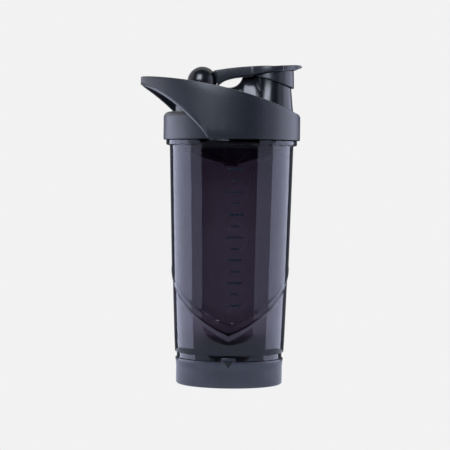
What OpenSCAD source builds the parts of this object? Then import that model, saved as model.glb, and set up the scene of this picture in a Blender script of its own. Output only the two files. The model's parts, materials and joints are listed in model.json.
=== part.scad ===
// Protein shaker bottle with a screw lid, a carry loop, a flip cap on a ball hinge,
// a hanging mixing grid and a screw-on storage cup under the bottle.
// Millimetres. The origin is on the bottle's axis at the table, +Z is up,
// +X points to the spout's side and the carry loop reaches out towards -X.

/* [Bottle] */
// Height of the bottle's body, from the groove above the base cup to the flange ring
body_h = 141.7; // [100:0.1:190]
// Outer radius of the neck, at the root of its thread
neck_r = 41.4; // [34:0.1:52]
// Height of the neck above the flange ring
neck_h = 13; // [12:0.1:20]
// Wall of the body under the flange ring
body_wall = 2.3; // [1.6:0.1:3.2]
// Wall of the neck
neck_wall = 2; // [1.4:0.1:2.6]
// How far the body stands out past the neck
shoulder_step = 1.1; // [0.6:0.1:3]
// How far the flange ring stands out past the neck
flange_w = 3.6; // [2:0.1:5]
// Thickness of the flange ring
flange_h = 3.5; // [2:0.1:6]
// Thickness of the bottle's floor
floor_t = 2; // [1.4:0.1:4]

/* [Grip shields] */
// How far the front, with the shield's point and the marker tab, is turned from the -Y side
front_turn = -6.5; // [-20:0.5:20]
// Height of the shields' points above the table
shield_low = 32; // [26:0.5:45]
// Height where the shields join into a full ring at the sides
shield_high = 78; // [60:0.5:95]
// How far the shields stand proud at their points
shield_step = 1; // [0.4:0.1:1.4]
// How far the raised ring stands proud at the sides
ring_step = 0.5; // [0.2:0.1:1]
// How far the raised ring lies inside the shoulder's radius, where the shields join
ring_taper = 2.35; // [0:0.05:6]

/* [Base cup] */
// Height of the base cup
cup_h = 18; // [15:0.1:26]
// Outer radius of the base cup near its foot
cup_r = 36.5; // [30:0.1:44]
// Wall of the base cup
cup_wall = 1.5; // [1.2:0.1:2.4]
// Thickness of the cup's floor
cup_floor = 2; // [1.4:0.1:4]
// How far the cup flares out at its rim
cup_flare = 0.6; // [0:0.1:1.5]
// Height of the groove between the cup and the body
groove_h = 4; // [3:0.1:7]
// Width of the marker tab on the cup's rim
tab_w = 9.7; // [6:0.1:16]
// Height of the marker tab above the rim
tab_h = 2.6; // [1:0.1:2.8]
// Thickness of the marker tab
tab_t = 0.8; // [0.6:0.1:1.2]
// Width of the engraved arrow
arrow_w = 6.8; // [3:0.1:9]
// Height of the engraved arrow
arrow_h = 5; // [3:0.1:7]

/* [Lid] */
// Wall of the inner lid's skirt
core_wall = 1.8; // [1.4:0.1:2.6]
// Wall of the outer lid shell
shell_wall = 2.2; // [1.6:0.1:3]
// Thickness of the inner lid's roof
roof_t = 2; // [1.4:0.1:3]
// Thickness of the shell's plate over the roof
plate_t = 2.4; // [1.6:0.1:4]
// Corner radius around the top of the shell
shell_round = 3.6; // [1:0.1:4]
// Length of the plug ring that reaches down into the neck
plug_l = 19; // [10:0.1:24]
// Wall of the plug ring
plug_wall = 1.6; // [1.2:0.1:2.4]

/* [Carry loop] */
// How far the loop reaches past the lid's side
loop_reach = 16; // [10:0.5:26]
// Wall of the loop
loop_wall = 3; // [2:0.1:4]
// Height of the loop's tip above the lid shell's top
loop_rise = 23.8; // [18:0.1:34]
// Height of the band at the loop's tip
loop_tip_h = 6.5; // [4:0.1:10]
// Half width of the loop's rounded tip
loop_round = 17; // [10:0.5:26]
// Distance from the lid's axis to the point where the loop leaves the lid's lower rim
loop_root = 19.9; // [12:0.1:30]
// Radius of the finger recess between the loop and the raised deck
finger_r = 58; // [30:0.5:80]
// How far the deck lies below the loop's top edge
deck_drop = 2.4; // [1:0.1:5]

/* [Hinge] */
// Radius of the hinge ball
ball_r = 10.4; // [8:0.1:12]
// Height of the hinge axis above the lid shell's top
hinge_rise = 21.3; // [18:0.1:30]
// Distance from the hinge axis to the spout's axis
arm_l = 48.3; // [42:0.1:56]
// Width of the cap's tongue in the ball's slot
tongue_w = 7.8; // [5:0.1:10]
// Radius of the hinge pin
pin_r = 1.5; // [1:0.1:2.5]

/* [Spout and cap] */
// Distance from the lid's side to the spout's axis
spout_inset = 19.7; // [18:0.1:24]
// Outer radius of the spout at its top
spout_r = 13.2; // [11:0.1:15]
// How much wider the spout is at the deck
spout_flare = 1.8; // [0:0.1:3]
// Height of the spout's top above the lid shell's top
spout_rise = 26.2; // [24:0.1:34]
// Wall of the spout
spout_wall = 2.2; // [1.4:0.1:3]
// Radius of the drinking hole
mouth_r = 7; // [4:0.1:9]
// Half width of the ramp behind the spout
ramp_half_w = 7; // [5:0.1:10]
// Wall of the cap's skirt
skirt_wall = 1.3; // [1:0.1:2.2]
// Gap between the spout and the cap's skirt
skirt_gap = 0.9; // [0.5:0.1:1.5]
// Height of the cap's top above the spout
cap_h = 6.3; // [5:0.1:9]
// How far the cap's thumb tab reaches past the skirt
tab_reach = 5.5; // [3:0.1:10]
// Half width of the arm beside the hinge
arm_half_w = 8; // [6:0.1:10]
// Thickness of the silicone pad in the cap
pad_t = 1.6; // [1:0.1:2.4]

/* [Mixing grid] */
// Depth of the grid's cone below its rim
grid_depth = 11; // [4:0.5:30]
// Number of ribs in the grid
grid_ribs = 12; // [6:1:20]
// Number of rings in the grid
grid_rings = 3; // [2:1:5]
// Width of the ribs and rings
rib_w = 1.6; // [1:0.1:2.4]
// Height of the ribs and rings
rib_h = 2; // [1.2:0.1:4]

/* [Threads and fits] */
// How far the lid rises in one turn
lid_lead = 12; // [8:1:16]
// How far the base cup drops in one turn
base_lead = 6; // [5:0.5:9]
// Depth of the neck's thread
thread_h = 1.2; // [0.8:0.1:1.6]
// Depth of the base cup's thread
base_thread_h = 0.9; // [0.6:0.1:1.2]
// Gap between a thread's crest and the opposite wall
thread_gap = 0.35; // [0.25:0.05:0.6]
// Gap between pieces that are pushed together for good
fit_gap = 0.05; // [0.02:0.01:0.1]
// Gap around pieces that move freely past each other
free_gap = 0.8; // [0.4:0.1:1.5]
// Gap between the rim of a screwed piece and the shoulder above or below it
rim_gap = 0.2; // [0.1:0.05:0.5]
// Gap around the hinge pin in the tongue's bore
hinge_gap = 0.08; // [0.05:0.01:0.1]
// Gap between the tongue and each cheek of the ball
cheek_gap = 0.2; // [0.1:0.05:0.4]
// Gap between the ball and the hollow in the arm's end
ball_gap = 0.3; // [0.2:0.05:0.5]
// Thickness of the sealing rings
seal_t = 1.7; // [1:0.1:3]

/* [Hidden] */
$fn = 96;
THREAD_STEPS = 40;
THREAD_STARTS = 2;
// Depth that a thread ridge reaches into its wall, so that both are one solid
SINK = 0.6;
// Longer than any piece is wide, for cuts that run right through
FAR = 90;
// Extra length of a cutter past the face that it starts from
OVER = 1;

// Thread ridges: width at the root, width at the crest
lid_ridge = [3.2, 1.6];
base_ridge = [1.5, 0.7];
// Angles that the ridges run through, from the angle where each starts
neck_run = [0, 250];
lid_run = [-90, 160];
spigot_run = [0, 240];
cup_run = [-90, 150];

// Share of the shields' rise that is straight; the rest is curved
shield_straight = 0.68;
// Moulded edges: on the flange, on the body's foot and on the cup's foot
flange_edge = 0.8;
foot_edge = 0.6;
cup_edge = 1.2;

// Heights, from the table up
groove_z = cup_h + rim_gap;
body_z = cup_h + groove_h;
flange_z = body_z + body_h;
neck_z = flange_z + flange_h;
rim_z = neck_z + neck_h;
roof_z = rim_z + seal_t;
deck_z = roof_z + roof_t;
shell_z = deck_z + plate_t;
lid_z = neck_z + rim_gap;
plug_z = roof_z - plug_l;
hinge_z = shell_z + hinge_rise;
spout_z = shell_z + spout_rise;
cap_z = spout_z + cap_h;

// Radii and places of the base
cup_in_r = cup_r - cup_wall;
rim_r = cup_r + cup_flare;
spigot_r = cup_in_r - base_thread_h - thread_gap;
groove_r = rim_r - tab_t - rim_gap;
body_lip = 0.3;
foot_r = rim_r + body_lip;
spigot_wall = 2;
spigot_recess = 1.5;
spigot_reach = 7;
spigot_in_r = spigot_r - spigot_wall;
spigot_z = cup_h - spigot_reach;
base_thread_z = spigot_z + 1.4;
base_seal_z = spigot_z - seal_t;
floor_z = spigot_z + spigot_recess + floor_t;

// Radii and places of the neck and the lid
shoulder_r = neck_r + shoulder_step;
neck_in_r = neck_r - neck_wall;
flange_r = neck_r + flange_w;
ring_r = shoulder_r - ring_taper;
skirt_in_r = neck_r + thread_h + thread_gap;
core_r = skirt_in_r + core_wall;
shell_in_r = core_r + fit_gap;
shell_r = shell_in_r + shell_wall;
plug_r = neck_in_r - free_gap;
plug_in_r = plug_r - plug_wall;
lid_thread_z = neck_z + 2.4;

// Places of the spout, the hinge and the loop
spout_x = shell_r - spout_inset;
hinge_x = spout_x - arm_l;
slot_w = tongue_w + 2 * cheek_gap;
slot_r = ball_r + 2 * ball_gap;
tongue_r = ball_r - 2 * ball_gap;
arm_gap_r = ball_r + ball_gap;
hinge_wall = 2;
pin_sunk = 0.8;
pin_floor = 2.5;
recess_x = hinge_x - ball_r - finger_r;
loop_tip_x = -shell_r - loop_reach;
loop_z = shell_z + loop_rise;

// Places of the cap
cavity_r = spout_r + skirt_gap;
skirt_r = cavity_r + skirt_wall;
ceiling_z = spout_z + pad_t;
cap_tip_x = spout_x + skirt_r + tab_reach;

// Curves
function bez2(a, b, c, n = 14) =
    [for (i = [0 : n]) let (t = i / n) a * (1 - t) * (1 - t) + b * 2 * t * (1 - t) + c * t * t];
function bez3(a, b, c, d, n = 16) =
    [for (i = [0 : n]) let (t = i / n, s = 1 - t)
        a * s * s * s + b * 3 * s * s * t + c * 3 * s * t * t + d * t * t * t];

// Edge of the grip shields: height against the angle from the front
function shield_z(angle) =
    let (t = angle / 90, rise = shield_straight * t + (1 - shield_straight) * t * t)
        shield_low + (shield_high - shield_low) * rise;

// Top and lower edge of the carry loop, seen from the side
loop_top_bend = [-5.4, shell_z + 18.6];
loop_top_end = [shell_r + 1, shell_z - 2.8];
loop_low_bend = [-loop_root - 21.6, shell_z + 7.5];
loop_top = bez2([loop_tip_x, loop_z], loop_top_bend, loop_top_end);
loop_low = bez2([loop_tip_x, loop_z - loop_tip_h], loop_low_bend, [-loop_root, lid_z]);

// Section of a thread ridge at one ring of its sweep
function ridge_section(r, side, h, ridge) =
    [[r - side * SINK, -ridge[0] / 2], [r + side * h, -ridge[1] / 2],
     [r + side * h, ridge[1] / 2], [r - side * SINK, ridge[0] / 2]];

// One thread ridge as a closed sweep; side is 1 on a shaft and -1 in a bore
module thread_ridge(r, side, h, ridge, lead, z0, run) {
    turn = run[1] - run[0];
    n = ceil(turn * THREAD_STEPS / 360);
    points = [for (i = [0 : n])
        let (a = run[0] + turn * i / n,
             grow = min(1, 0.4 + 0.3 * min(i, n - i)))
        for (p = ridge_section(r, side, h * grow, ridge))
            [p[0] * cos(a), p[0] * sin(a), p[1] + z0 + lead * a / 360]];
    sides = [for (i = [0 : n - 1], k = [0 : 3], half = [0, 1])
        let (p = 4 * i + k, q = 4 * i + (k + 1) % 4)
            half == 0 ? [p, q, q + 4] : [p, q + 4, p + 4]];
    ends = [[0, 3, 2], [0, 2, 1], [4 * n, 4 * n + 1, 4 * n + 2], [4 * n, 4 * n + 2, 4 * n + 3]];
    faces = concat(sides, ends);
    polyhedron(points, side > 0 ? faces : [for (f = faces) [f[2], f[1], f[0]]]);
}

module thread(r, side, h, ridge, lead, z0, run) {
    for (s = [0 : THREAD_STARTS - 1])
        rotate([0, 0, s * 360 / THREAD_STARTS])
            thread_ridge(r, side, h, ridge, lead, z0, run);
}

module ring(r_out, r_in, z0, z1) {
    translate([0, 0, z0]) difference() {
        cylinder(r = r_out, h = z1 - z0);
        translate([0, 0, -OVER]) cylinder(r = r_in, h = z1 - z0 + 2 * OVER);
    }
}

// A shape drawn from the side, X across and Z up, and run along Y
module side_prism(points, half_w) {
    translate([0, half_w, 0]) rotate([90, 0, 0]) linear_extrude(2 * half_w) polygon(points);
}

// A cylinder across the lid, along Y, centred on the hinge axis
module hinge_disc(r, w) {
    translate([hinge_x, w / 2, hinge_z]) rotate([90, 0, 0]) cylinder(r = r, h = w);
}

// ---- bottle ----

// Outer radius of the raised zone
function raised_r(z) =
    shoulder_r - (flange_z - z) * (shoulder_r - ring_r) / (flange_z - shield_high);

// Body under the grip shields, with the spigot and the groove
module recessed_zone() {
    top_z = shield_high + 4;
    rotate_extrude() polygon([
        [0, spigot_z], [spigot_r, spigot_z], [spigot_r, groove_z], [groove_r, groove_z],
        [groove_r, body_z], [foot_r - foot_edge, body_z], [foot_r, body_z + foot_edge],
        [raised_r(shield_low) - shield_step, shield_low],
        [raised_r(top_z) - ring_step, top_z], [0, top_z]]);
}

// Body with the grip shields, cut away under their curved edge, with the flange and the neck
module raised_zone() {
    low_z = shield_low - 1;
    difference() {
        rotate_extrude() polygon([
            [0, low_z], [raised_r(low_z), low_z], [shoulder_r, flange_z],
            [flange_r - flange_edge, flange_z], [flange_r, flange_z + flange_edge],
            [flange_r, neck_z],
            [neck_r, neck_z], [neck_r, rim_z], [0, rim_z]]);
        rotate([0, 0, front_turn]) side_prism(concat(
            [for (a = [-90 : 6 : 90]) [shoulder_r * sin(a), shield_z(abs(a))]],
            [[FAR, shield_high], [FAR, 0], [-FAR, 0], [-FAR, shield_high]]), FAR);
    }
}

module bottle_inside() {
    corner = 6;
    low_r = cup_r - 1.2;
    rotate_extrude() polygon(concat(
        [[0, floor_z]],
        [for (a = [0 : 15 : 90])
            [spigot_in_r - corner + corner * sin(a), floor_z + corner - corner * cos(a)]],
        [[low_r, body_z + 6], [shoulder_r - body_wall, flange_z - 3], [neck_in_r, flange_z + 2],
         [neck_in_r, rim_z + 1], [0, rim_z + 1]]));
}

module bottle() {
    color([0.30, 0.29, 0.34, 0.55]) {
        difference() {
            union() {
                recessed_zone();
                raised_zone();
            }
            bottle_inside();
            translate([0, 0, spigot_z - OVER]) cylinder(r = spigot_in_r, h = OVER + spigot_recess);
        }
        thread(neck_r, 1, thread_h, lid_ridge, lid_lead, lid_thread_z, neck_run);
        thread(spigot_r, 1, base_thread_h, base_ridge, base_lead, base_thread_z, spigot_run);
    }
}

// ---- base ----

module base_cup() {
    foot_ring = [cup_r - 14, cup_r - 8];
    foot_ring_h = 0.6;
    flare_h = 6;
    color([0.34, 0.34, 0.40, 0.6]) {
        difference() {
            union() {
                rotate_extrude() polygon([
                    [0, 0], [cup_r - cup_edge, 0], [cup_r - cup_edge / 3, cup_edge / 3],
                    [cup_r, cup_edge], [cup_r, cup_h - flare_h], [rim_r, cup_h], [0, cup_h]]);
                marker_tab();
            }
            translate([0, 0, cup_floor]) cylinder(r = spigot_in_r, h = cup_h);
            translate([0, 0, base_seal_z]) cylinder(r = cup_in_r, h = cup_h);
            ring(foot_ring[1], foot_ring[0], -OVER, foot_ring_h);
            engraved_arrow();
        }
        thread(cup_in_r, -1, base_thread_h, base_ridge, base_lead,
               base_thread_z + base_lead / THREAD_STARTS / 2, cup_run);
    }
}

module marker_tab() {
    rotate([0, 0, front_turn]) intersection() {
        ring(rim_r, rim_r - tab_t, cup_h - OVER, cup_h + tab_h);
        translate([-tab_w / 2, -FAR, 0]) cube([tab_w, FAR, FAR]);
    }
}

module engraved_arrow() {
    top = cup_h + 0.9;
    depth = 0.5;
    side_x = arrow_w / 2;
    rotate([0, 0, front_turn]) translate([0, depth - rim_r, 0]) rotate([90, 0, 0])
        linear_extrude(5) polygon([[-side_x, top], [side_x, top], [0, top - arrow_h]]);
}

module base_seal() {
    color([0.12, 0.12, 0.13]) ring(cup_in_r - fit_gap, spigot_in_r, base_seal_z, spigot_z);
}

// ---- mixing grid ----

module mixing_insert() {
    collar_wall = 1.8;
    collar_h = 7;
    hub_r = 5;
    rib_in_r = 1;
    grid_r = plug_in_r - fit_gap - collar_wall;
    rib_out_r = grid_r + 0.5;
    flange_low = plug_z - 2.4;
    cone_low = flange_low - grid_depth;
    function cone_z(r) = cone_low + grid_depth * r / grid_r;
    color([0.16, 0.16, 0.18]) {
        ring(plug_r, grid_r, flange_low, plug_z);
        ring(plug_in_r - fit_gap, grid_r, flange_low, plug_z + collar_h);
        for (k = [0 : grid_ribs - 1])
            rotate([0, 0, (k + 0.5) * 360 / grid_ribs])
                side_prism([[rib_in_r, cone_z(rib_in_r)], [rib_out_r, cone_z(rib_out_r)],
                            [rib_out_r, cone_z(rib_out_r) + rib_h],
                            [rib_in_r, cone_z(rib_in_r) + rib_h]], rib_w / 2);
        for (k = [1 : grid_rings])
            let (r = grid_r * k / (grid_rings + 1))
                ring(r + rib_w / 2, r - rib_w / 2, cone_z(r), cone_z(r) + rib_h);
        translate([0, 0, cone_low]) cylinder(r = hub_r, h = rib_h);
    }
}

// ---- lid ----

// Plan of the raised deck: the lid's circle less the finger recess
module deck_plan(r, recess) {
    difference() {
        circle(r);
        translate([recess_x, 0]) circle(recess);
    }
}

// Everything above the deck's sloping top, with that top lowered by drop
module over_deck(drop) {
    slope = [for (p = loop_top) [p[0], max(p[1] - drop, deck_z + deck_drop - drop)]];
    side_prism(concat(slope, [[shell_r + 1, deck_z + FAR], [loop_tip_x, deck_z + FAR]]), FAR);
}

// The lid's drum with its sloping deck and the finger recess, still solid
module deck_outside() {
    difference() {
        translate([0, 0, plug_z]) cylinder(r = core_r, h = FAR);
        translate([recess_x, 0, deck_z]) cylinder(r = finger_r, h = FAR);
        over_deck(deck_drop);
    }
}

// Room for the neck between the skirt and the plug ring
module neck_room() {
    low_z = plug_z - OVER;
    out_r = core_r + OVER;
    rotate_extrude() polygon([[plug_r, low_z], [out_r, low_z], [out_r, lid_z],
                              [skirt_in_r, lid_z], [skirt_in_r, roof_z], [plug_r, roof_z]]);
}

// The liquid's way up from the neck, and the hollow under the deck
module deck_hollow() {
    translate([0, 0, plug_z - OVER]) cylinder(r = plug_in_r, h = plug_l + OVER);
    difference() {
        translate([0, 0, roof_z - 0.5]) linear_extrude(roof_t + 1)
            deck_plan(plug_in_r - 1, finger_r + core_wall);
        hinge_block();
    }
    difference() {
        translate([0, 0, deck_z]) linear_extrude(FAR)
            deck_plan(core_r - core_wall, finger_r + core_wall);
        over_deck(deck_drop + roof_t);
        hinge_block();
    }
}

// Solid stuff left round the ball's slot
module hinge_block() {
    hinge_disc(slot_r + hinge_wall, 2 * (ball_r + hinge_wall));
}

// The ramp that runs level from the ball and then steeply up the back of the spout
module ramp() {
    ridge_z = hinge_z - 4;
    top_z = spout_z - 2.1;
    end_x = spout_x - sqrt(spout_r * spout_r - ramp_half_w * ramp_half_w) + 0.8;
    side_prism(concat(
        [[hinge_x, deck_z + 12], [hinge_x, ridge_z]],
        bez2([hinge_x + 22.4, ridge_z], [hinge_x + 25.4, ridge_z + 1], [hinge_x + 28.3, top_z], 6),
        [[end_x, top_z], [end_x, deck_z + 6]]), ramp_half_w);
}

module spout_outside() {
    lip_r = 2;
    collar_z = spout_z - 8;
    draft = 0.15;
    low_z = roof_z + 0.5;
    translate([spout_x, 0, 0]) rotate_extrude() polygon(concat(
        [[0, low_z], [spout_r + spout_flare, low_z], [spout_r + draft, collar_z],
         [spout_r, spout_z - lip_r]],
        [for (a = [15 : 15 : 90])
            [spout_r - lip_r + lip_r * cos(a), spout_z - lip_r + lip_r * sin(a)]],
        [[0, spout_z]]));
}

module spout_channel() {
    translate([spout_x, 0, roof_z - OVER])
        cylinder(r = spout_r - spout_wall, h = spout_z - roof_t - roof_z + OVER);
    translate([spout_x, 0, spout_z - roof_t - OVER]) cylinder(r = mouth_r, h = roof_t + 2 * OVER);
}

// The pin's blind hole, open at the back
module pin_hole() {
    translate([hinge_x, ball_r + OVER, hinge_z]) rotate([90, 0, 0])
        cylinder(r = pin_r + fit_gap, h = 2 * ball_r - pin_floor + OVER);
}

module lid_core() {
    color([0.05, 0.05, 0.06]) {
        difference() {
            union() {
                deck_outside();
                spout_outside();
                ramp();
                translate([hinge_x, 0, hinge_z]) sphere(r = ball_r);
            }
            neck_room();
            deck_hollow();
            spout_channel();
            hinge_disc(slot_r, slot_w);
            pin_hole();
        }
        thread(skirt_in_r, -1, thread_h, lid_ridge, lid_lead,
               lid_thread_z + lid_lead / THREAD_STARTS / 2, lid_run);
    }
}

// The loop's outline from above, inset from the outside by wall
module loop_plan(wall) {
    root_x = 5;
    root_y = shell_r - wall - 0.3;
    tip_x = loop_tip_x + wall;
    half = bez3([-root_x, root_y], [(loop_tip_x - root_x) / 2, root_y + 0.8],
                [tip_x, loop_round], [tip_x, 0]);
    polygon(concat([[root_x, root_y]], half, [for (i = [len(half) - 2 : -1 : 0])
        [half[i][0], -half[i][1]]], [[root_x, -root_y]]));
}

module loop_band() {
    intersection() {
        translate([0, 0, lid_z]) linear_extrude(FAR) difference() {
            union() {
                circle(shell_r);
                loop_plan(0);
            }
            circle(shell_in_r);
            loop_plan(loop_wall);
        }
        side_prism(concat(loop_top, [[shell_r + 1, lid_z]],
            [for (i = [len(loop_low) - 1 : -1 : 0]) loop_low[i]]), FAR);
    }
}

module shell_drum() {
    rotate_extrude() polygon(concat(
        [[0, lid_z], [shell_r, lid_z]],
        [for (a = [0 : 15 : 90])
            [shell_r - shell_round + shell_round * cos(a),
             shell_z - shell_round + shell_round * sin(a)]],
        [[0, shell_z]]));
}

module lid_shell() {
    color([0.33, 0.34, 0.38]) difference() {
        union() {
            shell_drum();
            loop_band();
        }
        translate([0, 0, lid_z - OVER]) cylinder(r = shell_in_r, h = deck_z - lid_z + OVER);
        translate([0, 0, lid_z]) linear_extrude(FAR) deck_plan(shell_in_r, finger_r - fit_gap);
    }
}

module lid_seal() {
    color([0.75, 0.76, 0.78]) ring(skirt_in_r - fit_gap, plug_r + fit_gap, rim_z, roof_z);
}

module hinge_pin() {
    color([0.7, 0.7, 0.72]) translate([hinge_x, ball_r - pin_sunk, hinge_z]) rotate([90, 0, 0])
        cylinder(r = pin_r, h = 2 * ball_r - pin_sunk - pin_floor - rim_gap);
}

// ---- flip cap ----

module arm_plan() {
    tip_r = 9;
    heel_x = hinge_x + 4;
    plate_y = skirt_r - 1;
    polygon([[heel_x, -arm_half_w], [spout_x, -plate_y], [spout_x, plate_y], [heel_x, arm_half_w]]);
    translate([spout_x, 0]) circle(skirt_r);
    translate([cap_tip_x - tip_r, 0]) circle(tip_r);
}

// The arm from the side: a crowned top, a lipped tip and an underside that hugs the ramp
module arm_side() {
    heel_x = hinge_x + 3;
    elbow = [spout_x - 17.5, spout_z - 1.3];
    side_prism(concat(
        bez2([heel_x, hinge_z + 6.2], [hinge_x + 27.2, cap_z + 0.1], [spout_x, cap_z - 0.75]),
        [[spout_x + 9, cap_z], [spout_x + 14.7, cap_z + 0.6], [cap_tip_x - 0.9, cap_z + 0.5],
         [cap_tip_x, cap_z - 0.2]],
        bez2([cap_tip_x - 4.7, spout_z + 3.5], [spout_x - 3.3, spout_z + 1.4], elbow, 8),
        bez2(elbow, [hinge_x + 16.5, hinge_z + 2.8], [hinge_x + 11, hinge_z - 3.2], 8),
        [[heel_x, hinge_z - 3.2]]), FAR);
}

// The cap's skirt with its slanted lower edge
module skirt() {
    back_z = spout_z - 0.4;
    front_z = spout_z - 9.1;
    top_z = cap_z - 2;
    intersection() {
        translate([spout_x, 0, front_z - OVER]) cylinder(r = skirt_r, h = top_z - front_z + 2 * OVER);
        side_prism(concat(
            [[spout_x - FAR, top_z], [spout_x - FAR, back_z], [spout_x - skirt_r + 2.5, back_z]],
            bez2([spout_x - 11.7, spout_z - 1.5], [spout_x - 0.3, spout_z - 4.5],
                 [spout_x + skirt_r, front_z], 6),
            [[spout_x + FAR, front_z], [spout_x + FAR, top_z]]), FAR);
    }
}

module tongue() {
    hinge_disc(tongue_r, tongue_w);
    side_prism([[hinge_x + 5, hinge_z - 1.6], [hinge_x + 12.5, hinge_z - 1.6],
                [hinge_x + 13.5, hinge_z + 7], [hinge_x + 5, hinge_z + 6]], tongue_w / 2);
}

module flip_cap() {
    color([0.17, 0.18, 0.22]) difference() {
        union() {
            difference() {
                union() {
                    intersection() {
                        linear_extrude(3 * FAR) arm_plan();
                        arm_side();
                    }
                    skirt();
                }
                hinge_disc(arm_gap_r, 4 * ball_r);
            }
            tongue();
        }
        translate([spout_x, 0, ceiling_z - FAR]) cylinder(r = cavity_r, h = FAR);
        hinge_disc(pin_r + hinge_gap, 2 * ball_r);
    }
}

module spout_seal() {
    plug_z0 = spout_z - 2.2;
    pad_r = cavity_r - fit_gap;
    color([0.75, 0.76, 0.78]) translate([spout_x, 0, 0]) rotate_extrude() polygon([
        [0, plug_z0], [mouth_r - 1.4, plug_z0], [mouth_r - 0.5, spout_z],
        [pad_r, spout_z], [pad_r, ceiling_z], [0, ceiling_z]]);
}

bottle();
base_cup();
base_seal();
mixing_insert();
lid_core();
lid_shell();
lid_seal();
flip_cap();
spout_seal();
hinge_pin();
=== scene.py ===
import json
import math

import bmesh
import bpy
import numpy as np
from mathutils import Matrix, Vector


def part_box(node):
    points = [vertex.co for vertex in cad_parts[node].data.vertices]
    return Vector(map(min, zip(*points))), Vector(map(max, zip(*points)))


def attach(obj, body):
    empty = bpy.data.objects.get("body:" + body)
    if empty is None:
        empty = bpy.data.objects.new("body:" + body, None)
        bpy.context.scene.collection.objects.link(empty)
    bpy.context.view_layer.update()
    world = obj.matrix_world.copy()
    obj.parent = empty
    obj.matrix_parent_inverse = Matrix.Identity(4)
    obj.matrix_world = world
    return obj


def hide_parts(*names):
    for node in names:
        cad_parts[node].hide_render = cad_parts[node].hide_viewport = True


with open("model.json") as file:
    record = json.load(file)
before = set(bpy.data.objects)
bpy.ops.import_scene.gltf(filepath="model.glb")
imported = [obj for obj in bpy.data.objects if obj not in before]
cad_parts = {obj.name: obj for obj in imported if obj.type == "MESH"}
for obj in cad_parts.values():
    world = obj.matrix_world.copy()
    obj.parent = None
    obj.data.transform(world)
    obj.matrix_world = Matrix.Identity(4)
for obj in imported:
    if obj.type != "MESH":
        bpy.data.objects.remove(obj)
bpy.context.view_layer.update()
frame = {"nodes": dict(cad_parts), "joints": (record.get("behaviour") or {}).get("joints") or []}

# Lengths in this script are millimetres in the model's own frame; meshes are scaled to metres
# as they are made.
MM = 0.001


def corner(node, high, axis):
    """One coordinate of a CAD node's box, in millimetres."""
    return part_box(node)[1 if high else 0]["xyz".index(axis)] / MM


# ---- sizes read from the frame ----

FLANGE_R = corner("bottle", True, "x")
RIM_Z = corner("bottle", True, "z")
SPIGOT_Z = corner("bottle", False, "z")
CUP_RIM_R = corner("base_cup", True, "x")
TAB_TOP_Z = corner("base_cup", True, "z")
LID_Z = corner("lid_shell", False, "z")
SHELL_R = corner("lid_shell", True, "x")
LOOP_TIP_X = corner("lid_shell", False, "x")
CORE_R = corner("lid_core", True, "x")
PLUG_Z = corner("lid_core", False, "z")
ROOF_Z = corner("lid_seal", True, "z")
CAP_TIP_X = corner("flip_cap", True, "x")
CAP_TOP_Z = corner("flip_cap", True, "z")
SPOUT_X = (corner("spout_seal", False, "x") + corner("spout_seal", True, "x")) / 2
CAP_IN_R = corner("spout_seal", True, "x") - SPOUT_X + 0.05
CEILING_Z = corner("spout_seal", True, "z")
INSERT_R = corner("mixing_insert", True, "x")
HINGE_X, _, HINGE_Z = (v / MM for v in
                       next(j for j in frame["joints"] if j["name"] == "cap_flip")["pos_m"])

# ---- sizes that the design states ----

NECK_H = 13.0
FLANGE_H = 3.5
FRONT_TURN = -6.5      # degrees from -Y to the shield's point and the arrow tab
MARK_TURN = -1.5       # degrees from -Y to the middle of the graduation marks
SHIELD_LOW = 32.0
SHIELD_HIGH = 78.0
CUP_H = 18.0
BODY_Z = 22.0
SEAL_T = 1.7
ROOF_T = 2.0
PLATE_T = 2.4
FINGER_R = 58.0
DECK_DROP = 2.4
BALL_R = 10.4
SPOUT_R = 13.2
SPOUT_FLARE = 1.8
SPOUT_WALL = 2.2
MOUTH_R = 7.0
PAD_T = 1.6
PIN_R = 1.5
TONGUE_W = 7.8
PLATE_R = 15.9
PANEL_SINK = 0.34      # depth of the front and back panels inside the shield's border
WALL_T = 2.5
LID_LEAD = 12.0
BASE_LEAD = 6.0
LID_THREAD = (1.2, 3.2, 1.6, LID_LEAD)      # depth, width at the foot, width at the crest, lead
BASE_THREAD = (0.9, 1.5, 0.7, BASE_LEAD)

# ---- places that follow from them ----

NECK_Z = RIM_Z - NECK_H
FLANGE_Z = NECK_Z - FLANGE_H
NECK_R = FLANGE_R - 3.6
NECK_IN_R = NECK_R - 2.0
SHOULDER_R = NECK_R + 1.1
SKIRT_IN_R = NECK_R + 1.55
CUP_R = CUP_RIM_R - 0.6
CUP_IN_R = CUP_R - 1.5
SPIGOT_R = CUP_IN_R - 1.25
SPIGOT_IN_R = SPIGOT_R - 2.0
GROOVE_R = CUP_RIM_R - 1.0
FOOT_R = CUP_RIM_R + 0.3
FLOOR_Z = SPIGOT_Z + 3.5
DECK_Z = ROOF_Z + ROOF_T
SHELL_Z = DECK_Z + PLATE_T
SHELL_IN_R = CORE_R + 0.05
PLUG_R = INSERT_R
PLUG_IN_R = PLUG_R - 1.6
SPOUT_Z = CEILING_Z - PAD_T
RECESS_X = HINGE_X - BALL_R - FINGER_R
LOOP_ROOT_X = -19.9
LOOP_TIP_Z = SHELL_Z + 23.8
LOOP_TIP_H = 6.5
LOOP_ROUND = 14.2
LOOP_BULGE_X = -39.8
CAP_Z = CAP_TOP_Z - 0.6
SKIRT_R = CAP_IN_R + 1.25
LID_THREAD_Z = NECK_Z + 2.4
BASE_THREAD_Z = SPIGOT_Z + 1.4

# Points round a full turn: of most rings, of the large finger recess and of the hinge's parts
ROUND = 288
RECESS_ROUND = 512
HINGE_ROUND = 128
PIN_ROUND = 64


# ---- mesh tools ----

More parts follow.
